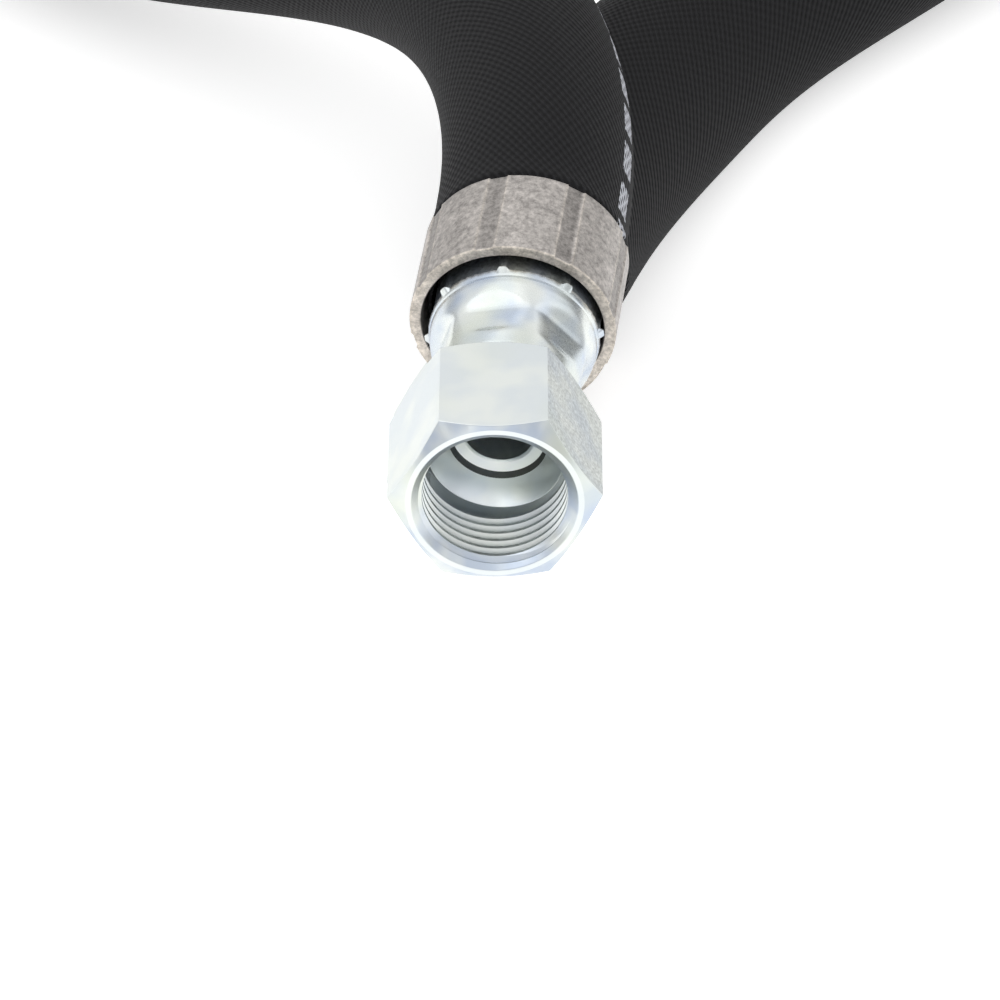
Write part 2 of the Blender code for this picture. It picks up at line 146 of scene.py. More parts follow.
# Crimp shell
CRIMP_STEPS = 360
SHELL_FRONT = 28.2
LIP_FRONT = 40.7
LIP_END = 42.6
LIP_BORE = 7.1
NOSE_BORE = 7.7
SHELL_END = 78.0
SHELL_BORE = 13.35
NOSE = (
    (28.2, 11.6),
    (28.7, 12.2),
    (31.4, 12.6),
    (34.4, 13.05),
    (37.2, 13.6),
    (38.8, 14.0),
    (40.4, 14.4),
    (41.8, 14.68),
    (42.8, 14.75),
)
NOSE_END = 42.8
SCOOPS = (
    (28.2, 13.6),
    (30.2, 13.4),
    (31.4, 12.8),
    (32.4, 12.25),
    (33.0, 12.15),
    (34.4, 12.2),
    (37.2, 12.32),
    (38.0, 12.6),
    (38.8, 13.25),
    (39.8, 14.3),
    (41.0, 15.2),
)
SCOOP_COUNT = 6
SCOOP_TURN = 11.5
SCOOP_BLEND = 0.65
BAND_RADIUS = 14.95
BARREL_RADIUS = 14.65
RING_STATION = 44.5
RIDGES = 8
RIDGE_TURN = 6.0
RIDGE_HEIGHT = 0.4
RIDGE_TOP = 2.3
RIDGE_FOOT = 4.2
NIB_HEIGHT = 0.75

# Sleeve collar
COLLAR_FRONT = 46.8
COLLAR_END = 66.5
COLLAR_RADIUS = 18.25
COLLAR_BORE = 16.15
STRIPE_TURN = 14.6
STRIPE_HALF = 4.8
STRIPE_DEPTH = 0.25
STRIPE_EDGE = 0.5
BORDER_HEIGHT = 0.08
COLLAR_LEAN = 0.55

# Sleeve
SLEEVE_START = 51.0
SLEEVE_RADIUS = 17.4
SLEEVE_WALL = 1.1
PINCHED_OUTER = 15.85
PINCHED_INNER = 15.35
SLEEVE_SIDES = 64
SLEEVE_STEP = 3.0
SLEEVE_OPENING = 1.6
BULGE = 0.45
BULGE_START = 68.6
BULGE_LENGTH = 6
SLACK = 6.9
SLACK_START = 15.8
SLACK_LENGTH = 175.0
SLACK_SKEW = 0.6
FLOOR_GAP = 0.1
SLEEVE_STATIONS = (SLEEVE_START, 55, 60, 65, 66.2, 67.0, 67.8, 68.6, 69.6, 70.8, 72.2, 74, 76)
DASH_PLACE = 0.8 * math.tau * SLEEVE_RADIUS
DASH_HALF = 1.9
DASH_LENGTH = 7.5
DASH_PERIOD = 10.5
HOSE_NODES = (
    "textile_sleeve",
    "hose_cover",
    "hose_outer_braid",
    "hose_friction_layer",
    "hose_inner_braid",
    "hose_inner_tube",
)

# The free hose from end A round to end B, in millimetres from nut A's face on the surface below it
ROUTE = (
    (6.5, 111.5, 58.0),
    (-8.5, 165.5, 52.0),
    (-40.5, 209.5, 37.0),
    (-83.5, 244.0, 23.5),
    (-122.5, 286.5, 18.5),
    (-143.5, 344.0, 17.5),
    (-138.5, 406.0, 17.5),
    (-108.5, 460.0, 17.5),
    (-58.0, 496.0, 17.5),
    (2.5, 508.0, 17.5),
    (60.0, 494.0, 17.5),
    (107.0, 458.5, 17.5),
    (135.0, 408.5, 17.5),
    (142.0, 353.5, 17.5),
    (127.5, 300.5, 17.5),
    (94.0, 255.0, 17.5),
    (43.5, 206.5, 17.5),
    (28.0, 183.0, 17.8),
)

# Camera, fitted to the nut's corners: angles in degrees, lengths in millimetres from nut A's face
CAMERA_ELEVATION = 36.29
CAMERA_YAW = -0.85
CAMERA_ROLL = -1.04
CAMERA_AIM = (0.90, 0.0, 0.73)
CAMERA_DISTANCE = 956.0
CAMERA_LENS = 203.5

# Studio: in the card's direction the walls are dark, which the metal's right-hand sides reflect
DARK_CARD = (0.7, 0.71, 0.04)
DARK_CARD_STRENGTH = 0.45
WALL_STRENGTH = 0.85
SKIRTING_STRENGTH = 0.5
FLOOR_SIZE = 6.0
FLOOR_GLOW = 0.52
LIGHTS_AIM = (0, 0, 0.03)


def linear(code):
    """A colour written as an sRGB hex value, as linear red, green and blue."""
    parts = [int(code[i : i + 2], 16) / 255 for i in (1, 3, 5)]
    return [c / 12.92 if c <= 0.04045 else ((c + 0.055) / 1.055) ** 2.4 for c in parts]


class FittingSettings(PropertyGroup):
    """Sizes of the fittings that a user would change."""

    thread_pitch: FloatProperty(
        name="Thread pitch",
        description="Distance from one turn of the nut's thread to the next",
        default=2.1167 * MM,
        unit="LENGTH",
    )
    scoop_depth: FloatProperty(
        name="Jaw mark depth",
        description="How much deeper the six jaw marks in the shell's nose are pressed than measured",
        default=0.0,
        unit="LENGTH",
    )
    edge_rounding: FloatProperty(
        name="Edge rounding",
        description="Width of the rounding on the hex's edges",
        default=0.16 * MM,
        unit="LENGTH",
    )


class FinishSettings(PropertyGroup):
    """Colours of the finishes."""

    zinc: FloatVectorProperty(
        name="Zinc plate",
        description="Main colour of the plated nuts, stems and shells",
        default=linear("#E6EAE7"),
        subtype="COLOR",
    )
    zinc_blue: FloatVectorProperty(
        name="Zinc plate, blue",
        description="Bluish tint where the passivation is thicker",
        default=linear("#C3CEDD"),
        subtype="COLOR",
    )
    zinc_warm: FloatVectorProperty(
        name="Zinc plate, straw",
        description="Yellowish tint where the passivation is thinner",
        default=linear("#DEE3D6"),
        subtype="COLOR",
    )
    collar: FloatVectorProperty(
        name="Raw steel",
        description="Main colour of the sleeve collars",
        default=linear("#B0ABA7"),
        subtype="COLOR",
    )
    # Paler colour for the rubbed stripe edges and front faces, partly painted highlight.
    collar_rubbed: FloatVectorProperty(
        name="Raw steel, rubbed",
        description="Paler colour of the collars' front faces and of the edges of the crimp stripes",
        default=linear("#CFC7BD"),
        subtype="COLOR",
    )
    nylon: FloatVectorProperty(
        name="Black nylon",
        description="Colour of the sleeve's yarn",
        default=linear("#19191B"),
        subtype="COLOR",
    )
    marks: FloatVectorProperty(
        name="Sleeve marks",
        description="Colour of the plain dashes on the sleeve",
        default=linear("#C9CBD3"),
        subtype="COLOR",
    )


# Placing along a fitting


def direction(yaw, pitch):
    yaw, pitch = math.radians(yaw), math.radians(pitch)
    return Vector((math.sin(yaw) * math.cos(pitch), math.cos(yaw) * math.cos(pitch), math.sin(pitch)))


def ring_frame(along):
    right = along.cross(Vector((0, 0, 1))).normalized()
    return right, right.cross(along)


def placed(origin, along):
    """Puts a shape made in millimetres along +Z at origin, with its +X on the upper side."""
    right, up = ring_frame(along)
    turned = Matrix((up, right, along)).transposed().to_4x4()
    return Matrix.Translation(origin) @ turned @ Matrix.Scale(MM, 4)


class Fitting:
    """Where one end's nut and stem lie, from the frame's hinge and the measured tilt of the stem."""

    def __init__(self, letter):
        hinge = NUT_HINGE["nut_" + letter]
        self.letter = letter
        self.face = Vector(hinge["pos_m"])
        self.nut_along = Vector(hinge["axis"]).normalized()
        self.along = direction(*STEM_TURNS[letter])
        self.pivot = self.face + self.nut_along * PIVOT_STATION * MM + Vector((0, 0, NUT_DROP * MM))

    def at(self, station):
        return self.pivot + self.along * (station - PIVOT_STATION) * MM

    def nut_matrix(self):
        return placed(self.face, self.nut_along)

    def stem_matrix(self):
        return placed(self.at(0), self.along)


ENDS = {letter: Fitting(letter) for letter in "ab"}


# Mesh tools


def turned_shape(profile, steps):
    """A closed profile of (station, radius) pairs, spun round the axis."""
    mesh = bmesh.new()
    line = [mesh.verts.new((radius, 0, station)) for station, radius in profile]
    edges = [mesh.edges.new((a, b)) for a, b in zip(line, line[1:] + line[:1])]
    bmesh.ops.spin(
        mesh,
        geom=line + edges,
        cent=(0, 0, 0),
        axis=(0, 0, 1),
        angle=math.tau,
        steps=steps,
        use_merge=True,
    )
    bmesh.ops.remove_doubles(mesh, verts=mesh.verts, dist=1e-4)
    bmesh.ops.recalc_face_normals(mesh, faces=mesh.faces)
    return mesh


def reshape(mesh, rule):
    """Moves each vertex to the (station, radius) that the rule gives for its own and its angle."""
    for vert in mesh.verts:
        angle = math.atan2(vert.co.y, vert.co.x)
        radius = math.hypot(vert.co.x, vert.co.y)
        station, radius = rule(vert.co.z, radius, angle)
        vert.co = (radius * math.cos(angle), radius * math.sin(angle), station)


def round_edges(mesh, chosen, width, least=25, segments=2):
    """Bevels the edges that are sharper than the least angle and that chosen accepts."""
    sharp = [
        edge
        for edge in mesh.edges
        if len(edge.link_faces) == 2
        and edge.calc_face_angle() > math.radians(least)
        and chosen(edge)
    ]
    bmesh.ops.bevel(
        mesh,
        geom=sharp,
        offset=width,
        affect="EDGES",
        segments=segments,
        profile=0.5,
        material=-1,
        clamp_overlap=True,
    )


def edge_place(edge):
    """The (station, radius) of an edge's middle."""
    middle = (edge.verts[0].co + edge.verts[1].co) / 2
    return middle.z, math.hypot(middle.x, middle.y)


def scratch_object(mesh):
    data = bpy.data.meshes.new("scratch")
    mesh.to_mesh(data)
    mesh.free()
    made = bpy.data.objects.new("scratch", data)
    bpy.context.collection.objects.link(made)
    return made


def carve(mesh, tool):
    """The mesh with the tool's shape cut out of it."""
    body, cutter = scratch_object(mesh), scratch_object(tool)
    cut = body.modifiers.new("cut", "BOOLEAN")
    cut.operation = "DIFFERENCE"
    cut.solver = "EXACT"
    cut.object = cutter
    graph = bpy.context.evaluated_depsgraph_get()
    data = bpy.data.meshes.new_from_object(body.evaluated_get(graph))
    if len(data.polygons) < 100:
        raise RuntimeError("the cut left nothing")
    result = bmesh.new()
    result.from_mesh(data)
    for scratch in (body, cutter):
        spent = scratch.data
        bpy.data.objects.remove(scratch, do_unlink=True)
        bpy.data.meshes.remove(spent)
    bpy.data.meshes.remove(data)
    return result


def finish_piece(name, mesh, matrix, finishes, body, nodes, sharp=30):
    """Places the mesh in metres, gives it its finishes, ties it to its body and hides its nodes."""
    data = bpy.data.meshes.new(name)
    mesh.transform(matrix)
    mesh.to_mesh(data)
    mesh.free()
    data.shade_smooth()
    data.set_sharp_from_angle(angle=math.radians(sharp))
    for finish in finishes:
        data.materials.append(finish)
    made = bpy.data.objects.new(name, data)
    bpy.context.collection.objects.link(made)
    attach(made, body)
    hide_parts(*nodes)
    return made


# Finishes


def add_node(tree, kind, inputs=None, **settings):
    """Adds a node with its settings, and sets or links its inputs."""
    made = tree.nodes.new(kind)
    for name, value in settings.items():
        setattr(made, name, value)
    for name, value in (inputs or {}).items():
        if isinstance(value, bpy.types.NodeSocket):
            tree.links.new(value, made.inputs[name])
        else:
            made.inputs[name].default_value = value
    return made


def per(size):
    """The texture scale that gives features of this size in millimetres."""
    return 1 / (size * MM)


def blank_finish(name):
    finish = bpy.data.materials.new(name)
    finish.use_nodes = True
    tree = finish.node_tree
    shader = tree.nodes["Principled BSDF"]
    return finish, tree, shader


def zinc_plate(name, grain, roughness, dark=1.0, scuffed=0.0, tints=1.0):
    """Bright zinc plate on turned steel, clear passivated: pale silver, with faint blue and straw tints."""
    colours = bpy.context.scene.hose_finish
    finish, tree, shader = blank_finish(name)
    place = add_node(tree, "ShaderNodeTexCoord").outputs["Object"]
    cloud = add_node(
        tree,
        "ShaderNodeTexNoise",
        {"Vector": place, "Scale": per(9.0), "Detail": 2.0, "Roughness": 0.5},
    ).outputs["Fac"]
    tinted = add_node(
        tree,
        "ShaderNodeMapRange",
        {"Value": cloud, "From Min": 0.42, "From Max": 0.62, "To Min": 1 - tints},
    ).outputs["Result"]
    fine = add_node(
        tree,
        "ShaderNodeTexNoise",
        {"Vector": place, "Scale": per(grain), "Detail": 4.0, "Roughness": 0.65},
    ).outputs["Fac"]
    blue = add_node(
        tree,
        "ShaderNodeMix",
        {0: tinted, 6: (*colours.zinc_blue, 1), 7: (*colours.zinc, 1)},
        data_type="RGBA",
    ).outputs[2]
    patches = add_node(
        tree,
        "ShaderNodeTexNoise",
        {"Vector": place, "Scale": per(14.0), "Detail": 1.0},
    ).outputs["Fac"]
    straw = add_node(
        tree,
        "ShaderNodeMapRange",
        {"Value": patches, "From Min": 0.5, "From Max": 0.75, "To Max": tints},
    ).outputs["Result"]
    warm = add_node(
        tree,
        "ShaderNodeMix",
        {0: straw, 6: blue, 7: (*colours.zinc_warm, 1)},
        data_type="RGBA",
    ).outputs[2]
    scuff = add_node(
        tree,
        "ShaderNodeMapRange",
        {"Value": fine, "From Min": 0.35, "From Max": 0.7, "To Min": dark, "To Max": dark - scuffed},
    ).outputs["Result"]
    shaded = add_node(
        tree,
        "ShaderNodeVectorMath",
        {0: warm, "Scale": scuff},
        operation="SCALE",
    ).outputs[0]
    rough = add_node(
        tree,
        "ShaderNodeMapRange",
        {"Value": fine, "To Min": roughness - 0.06, "To Max": roughness + 0.12},
    ).outputs["Result"]
    bump = add_node(
        tree,
        "ShaderNodeBump",
        {"Height": fine, "Strength": 0.25, "Distance": 0.05 * MM},
    ).outputs["Normal"]
    shader.inputs["Metallic"].default_value = 1.0
    tree.links.new(shaded, shader.inputs["Base Color"])
    tree.links.new(rough, shader.inputs["Roughness"])
    tree.links.new(bump, shader.inputs["Normal"])
    return finish


def raw_steel(name):
    """Bare pickled steel tube, crimped in jaws: matt warm grey with fine light and dark speckle."""
    colours = bpy.context.scene.hose_finish
    finish, tree, shader = blank_finish(name)
    place = add_node(tree, "ShaderNodeTexCoord").outputs["Object"]
    speckle = add_node(
        tree,
        "ShaderNodeTexNoise",
        {"Vector": place, "Scale": per(1.1), "Detail": 6.0, "Roughness": 0.78},
    ).outputs["Fac"]
    cloud = add_node(
        tree,
        "ShaderNodeTexNoise",
        {"Vector": place, "Scale": per(5.0), "Detail": 3.0, "Roughness": 0.6},
    ).outputs["Fac"]
    spread = add_node(
        tree,
        "ShaderNodeMapRange",
        {"Value": speckle, "From Min": 0.36, "From Max": 0.64, "To Min": 0.62, "To Max": 1.4},
    ).outputs["Result"]
    broad = add_node(
        tree,
        "ShaderNodeMapRange",
        {"Value": cloud, "From Min": 0.3, "From Max": 0.7, "To Min": 0.88, "To Max": 1.1},
    ).outputs["Result"]
    both = add_node(
        tree,
        "ShaderNodeMath",
        {0: spread, 1: broad},
        operation="MULTIPLY",
    ).outputs[0]
    # The vertex attribute read here pales the stripe edges and the front face, partly rubbed bare steel and
    # partly painted highlight, and darkens the pressed stripes as painted shade.
    rubbed = add_node(tree, "ShaderNodeAttribute", attribute_name="rubbed").outputs["Fac"]
    bare = add_node(
        tree,
        "ShaderNodeMix",
        {0: rubbed, 6: (*colours.collar, 1), 7: (*colours.collar_rubbed, 1)},
        data_type="RGBA",
    ).outputs[2]
    sunk = add_node(
        tree,
        "ShaderNodeMapRange",
        {"Value": rubbed, "From Min": -0.35, "From Max": 0, "To Min": 0.72, "To Max": 1.0},
    ).outputs["Result"]
    both = add_node(tree, "ShaderNodeMath", {0: both, 1: sunk}, operation="MULTIPLY").outputs[0]
    shaded = add_node(
        tree,
        "ShaderNodeVectorMath",
        {0: bare, "Scale": both},
        operation="SCALE",
    ).outputs[0]
    bump = add_node(
        tree,
        "ShaderNodeBump",
        {"Height": speckle, "Strength": 0.5, "Distance": 0.12 * MM},
    ).outputs["Normal"]
    shader.inputs["Metallic"].default_value = 0.75
    shader.inputs["Roughness"].default_value = 0.48
    tree.links.new(shaded, shader.inputs["Base Color"])
    tree.links.new(bump, shader.inputs["Normal"])
    return finish


def woven_nylon(name):
    """Woven black nylon tube: a fine slanted rib with crossing yarns, slightly shiny, the crowns painted
    lighter as painted sheen and the hollows painted darker as painted shade.
    """
    colours = bpy.context.scene.hose_finish
    finish, tree, shader = blank_finish(name)
    place = add_node(tree, "ShaderNodeUVMap", uv_map="lay").outputs["UV"]
    turned = add_node(
        tree,
        "ShaderNodeMapping",
        {"Vector": place, "Rotation": (0, 0, math.radians(38))},
    ).outputs["Vector"]
    rib = add_node(
        tree,
        "ShaderNodeTexWave",
        {"Vector": turned, "Scale": 0.31416 / 1.15, "Distortion": 0.6, "Detail": 1.0},
        bands_direction="X",
    ).outputs["Fac"]
    crossed = add_node(
        tree,
        "ShaderNodeMapping",
        {"Vector": place, "Rotation": (0, 0, math.radians(-30))},
    ).outputs["Vector"]
    yarn = add_node(
        tree,
        "ShaderNodeTexWave",
        {"Vector": crossed, "Scale": 0.31416 / 1.5, "Distortion": 0.6, "Detail": 1.0},
        bands_direction="X",
    ).outputs["Fac"]
    weave = add_node(
        tree,
        "ShaderNodeMath",
        {0: yarn, 1: 0.45, 2: rib},
        operation="MULTIPLY_ADD",
    ).outputs[0]
    # The weave's relief is painted into the colour: the black is lifted to 1.5 on the crowns, painted
    # sheen, and dropped to 0.35 between them, painted shade.
    shade = add_node(
        tree,
        "ShaderNodeMapRange",
        {"Value": weave, "From Min": 0.1, "From Max": 1.3, "To Min": 0.35, "To Max": 1.5},
    ).outputs["Result"]
    yarn_colour = add_node(
        tree,
        "ShaderNodeVectorMath",
        {0: (*colours.nylon,), "Scale": shade},
        operation="SCALE",
    ).outputs[0]
    apart = add_node(tree, "ShaderNodeSeparateXYZ", {"Vector": place}).outputs
    beside = add_node(
        tree,
        "ShaderNodeMath",
        {0: apart["X"], 1: DASH_PLACE, 2: DASH_HALF},
        operation="COMPARE",
    ).outputs[0]
    repeated = add_node(
        tree,
        "ShaderNodeMath",
        {0: apart["Y"], 1: DASH_PERIOD},
        operation="MODULO",
    ).outputs[0]
    within = add_node(
        tree,
        "ShaderNodeMath",
        {0: repeated, 1: DASH_LENGTH},
        operation="LESS_THAN",
    ).outputs[0]
    marked = add_node(
        tree,
        "ShaderNodeMath",
        {0: beside, 1: within},
        operation="MULTIPLY",
    ).outputs[0]
    broken = add_node(
        tree,
        "ShaderNodeMath",
        {0: weave, 1: 0.45},
        operation="GREATER_THAN",
    ).outputs[0]
    printed = add_node(
        tree,
        "ShaderNodeMath",
        {0: marked, 1: broken},
        operation="MULTIPLY",
    ).outputs[0]
    colour = add_node(
        tree,
        "ShaderNodeMix",
        {0: printed, 6: yarn_colour, 7: (*colours.marks, 1)},
        data_type="RGBA",
    ).outputs[2]
    bump = add_node(
        tree,
        "ShaderNodeBump",
        {"Height": weave, "Strength": 0.8, "Distance": 0.35 * MM},
    ).outputs["Normal"]
    shader.inputs["Roughness"].default_value = 0.7
    shader.inputs["Specular IOR Level"].default_value = 0.2
    tree.links.new(colour, shader.inputs["Base Color"])
    tree.links.new(bump, shader.inputs["Normal"])
    return finish


# Swivel nut


def from_flat(angle):
    sixth = math.radians(60)
    return (angle + sixth / 2) % sixth - sixth / 2


def nut_rule(station, radius, angle):
    """Gives a spun blank its hex, with chamfers that follow the corners."""
    if abs(radius - HEX_CORNER) > 0.01:
        return station, radius
    radius = HEX_HALF / math.cos(from_flat(angle))
    if station < HEX_LENGTH / 2:
        return (radius - FACE_RADIUS) * FRONT_CHAMFER, radius
    return HEX_LENGTH - (radius - BACK_RADIUS) * BACK_CHAMFER, radius


def thread_tool(pitch):
    """A male screw: one turn's profile, spun with a rise of one pitch for each turn."""
    root = THREAD_MINOR - THREAD_OVERLAP
    flank = (THREAD_MAJOR - root) * math.tan(math.radians(30))
    crest = pitch / 8
    first = THREAD_LAST_LAND % pitch - 1.5 * pitch
    mesh = bmesh.new()
    line = []
    for k in range(THREAD_TURNS):
        start = first + (k - 1) * pitch
        for rise, radius in (
            (0, root),
            (flank, THREAD_MAJOR),
            (flank + crest, THREAD_MAJOR),
            (2 * flank + crest, root),
        ):
            line.append(mesh.verts.new((radius, 0, start + rise)))
    line.append(mesh.verts.new((root, 0, first + (THREAD_TURNS - 1) * pitch)))
    edges = [mesh.edges.new(pair) for pair in zip(line, line[1:])]
    bmesh.ops.spin(
        mesh,
        geom=line + edges,
        cent=(0, 0, 0),
        axis=(0, 0, 1),
        dvec=(0, 0, pitch / THREAD_STEPS),
        angle=math.tau,
        steps=THREAD_STEPS,
    )
    bmesh.ops.remove_doubles(mesh, verts=mesh.verts, dist=1e-3)
    for station, way in ((THREAD_RUN_IN, -1), (THREAD_END + THREAD_RUN_OUT, 1)):
        everything = list(mesh.verts) + list(mesh.edges) + list(mesh.faces)
        bmesh.ops.bisect_plane(
            mesh,
            geom=everything,
            plane_co=(0, 0, station),
            plane_no=(0, 0, way),
            clear_outer=True,
        )
        rim = [
            edge
            for edge in mesh.edges
            if edge.is_boundary and abs(edge_place(edge)[0] - station) < 1e-3
        ]
        bmesh.ops.edgeloop_fill(mesh, edges=rim)
    bmesh.ops.recalc_face_normals(mesh, faces=mesh.faces)
    return mesh


def nut_shape(settings):
    """A chamfered hex with its threaded mouth and the chamber for the stem's head."""
    profile = [
        (0, MOUTH_RADIUS),
        (0, FACE_RADIUS),
        (0, HEX_CORNER),
        (HEX_LENGTH, HEX_CORNER),
        (HEX_LENGTH, BACK_RADIUS),
        (HEX_LENGTH, RETAINER_RADIUS + RETAINER_CHAMFER),
        (HEX_LENGTH - RETAINER_CHAMFER, RETAINER_RADIUS),
        (HEX_LENGTH - RETAINER_LENGTH, RETAINER_RADIUS),
        (CHAMBER_END, CHAMBER_RADIUS),
        (THREAD_END + CHAMBER_CHAMFER, CHAMBER_RADIUS),
        (THREAD_END, THREAD_MINOR),
        (MOUTH_DEPTH, THREAD_MINOR),
    ]
    mesh = turned_shape(profile, NUT_STEPS)
    reshape(mesh, nut_rule)

    def outer_edge(edge):
        return edge_place(edge)[1] > MOUTH_RADIUS - 0.3

    round_edges(mesh, outer_edge, settings.edge_rounding / MM, least=15)
    mesh = carve(mesh, thread_tool(settings.thread_pitch / MM))
    # Faces of the upper right flat take the second finish: scuff speckle, and painted shade darkening the
    # whole flat.
    turn = math.radians(SCUFFED_FLAT)
    scuffed = Vector((math.cos(turn), math.sin(turn), 0))
    steepest, flattest = CHAMFER_FACING
    for face in mesh.faces:
        if face.normal.dot(scuffed) > FLAT_FACING:
            face.material_index = 1
        elif face.calc_center_median().z < CHAMFER_REACH and steepest < face.normal.z < flattest:
            face.material_index = 2
    return mesh


class HOSE_OT_nuts(Operator):
    """Build the two threaded swivel nuts"""

    bl_idname = "hose.nuts"
    bl_label = "Swivel Nuts"

    def execute(self, context):
        finish = zinc_plate("zinc_plated_nut", 0.5, 0.36, tints=0.3)
        # Scuff speckle plus painted shade for the upper right flat.
        scuffed = zinc_plate("zinc_plated_scuffed_shaded_flat", 0.6, 0.45, dark=0.9, scuffed=0.34, tints=0.4)
        chamfer = zinc_plate("zinc_plated_chamfer", 0.5, 0.3, dark=0.94)
        shape = nut_shape(context.scene.hose_fitting)
        for letter, end in ENDS.items():
            finish_piece(
                "nut_" + letter + "_threaded",
                shape.copy(),
                end.nut_matrix(),
                [finish, scuffed, chamfer],
                "nut_" + letter,
                ["swivel_nut_" + letter],
                sharp=12,
            )
        shape.free()
        return {"FINISHED"}


# Stem


def stem_shape():
    """Cone seat, throat, bore, head, neck, lock groove, stop and barbed tail."""
    seat_end = SEAT_DEPTH + (SEAT_RIM - THROAT_RADIUS) / SEAT_SLOPE
    throat_end = seat_end + THROAT_LENGTH
    head_end = SEAT_DEPTH + HEAD_LENGTH
    groove_end = LIP_FRONT + GROOVE_LENGTH
    profile = [
        (SEAT_DEPTH, SEAT_RIM),
        (SEAT_DEPTH, SEAT_RIM + 0.12),
        (SEAT_DEPTH + 0.3, HEAD_RADIUS),
        (head_end, HEAD_RADIUS),
        (head_end + HEAD_RADIUS - NECK_RADIUS, NECK_RADIUS),
        (LIP_FRONT - GROOVE_PLAY, NECK_RADIUS),
        (LIP_FRONT - GROOVE_PLAY, GROOVE_RADIUS),
        (groove_end, GROOVE_RADIUS),
        (groove_end, STOP_RADIUS),
        (groove_end + STOP_LENGTH, STOP_RADIUS),
        (groove_end + STOP_LENGTH, TAIL_RADIUS - BARB_DEPTH),
    ]
    for k in range(BARB_COUNT):
        crest = groove_end + BARB_START + BARB_PITCH * k
        profile += [(crest, TAIL_RADIUS), (crest + BARB_LENGTH, TAIL_RADIUS - BARB_DEPTH)]
    profile += [
        (TAIL_END, TAIL_RADIUS - BARB_DEPTH),
        (TAIL_END, BORE_RADIUS),
        (throat_end + STEP_SLOPE + 0.4, BORE_RADIUS),
        (throat_end + STEP_SLOPE, STEP_RADIUS),
        (throat_end, THROAT_END_RADIUS),
        (seat_end, THROAT_RADIUS),
    ]
    mesh = turned_shape(profile, STEM_STEPS)
    # The throat's faces behind the cone seat take the second finish, zinc plate painted almost black:
    # painted shade deep in the bore.
    for face in mesh.faces:
        station = face.calc_center_median().z
        radius = max(math.hypot(vert.co.x, vert.co.y) for vert in face.verts)
        if seat_end < station < throat_end and radius < SEAT_RIM:
            face.material_index = 1
    round_edges(mesh, lambda edge: edge_place(edge)[0] < ROUNDED_END, STEM_ROUNDING)
    return mesh


class HOSE_OT_stems(Operator):
    """Build the two bored stems with their cone seats"""

    bl_idname = "hose.stems"
    bl_label = "Stems"

    def execute(self, context):
        finish = zinc_plate("zinc_plated_stem", 0.25, 0.3, dark=1.12, tints=0.5)
        # The second finish is zinc plate darkened to 0.16, painted shade for the throat deep inside the
        # seat.
        groove = zinc_plate("zinc_plated_throat_painted_shade", 0.5, 0.5, dark=0.16)
        for letter, end in ENDS.items():
            finish_piece(
                "stem_" + letter + "_seat",
                stem_shape(),
                end.stem_matrix(),
                [finish, groove],
                "hose",
                ["stem_" + letter],
            )
        return {"FINISHED"}


# Crimp shell


def mark_share(angle, turn, inner, outer):
    """How far up a crimp mark an angle is: 1 within the inner half-width, 0 beyond the outer one."""
    share = math.tau / RIDGES
    away = abs((angle - math.radians(turn) + share / 2) % share - share / 2)
    return min(max((math.radians(outer) - away) / math.radians(outer - inner), 0), 1)


def soft_least(a, b, blend):
    """The lesser of two radii, with a rounded change from one to the other."""
    mixed = max(blend - abs(a - b), 0) / blend
    return min(a, b) - mixed * mixed * blend / 4


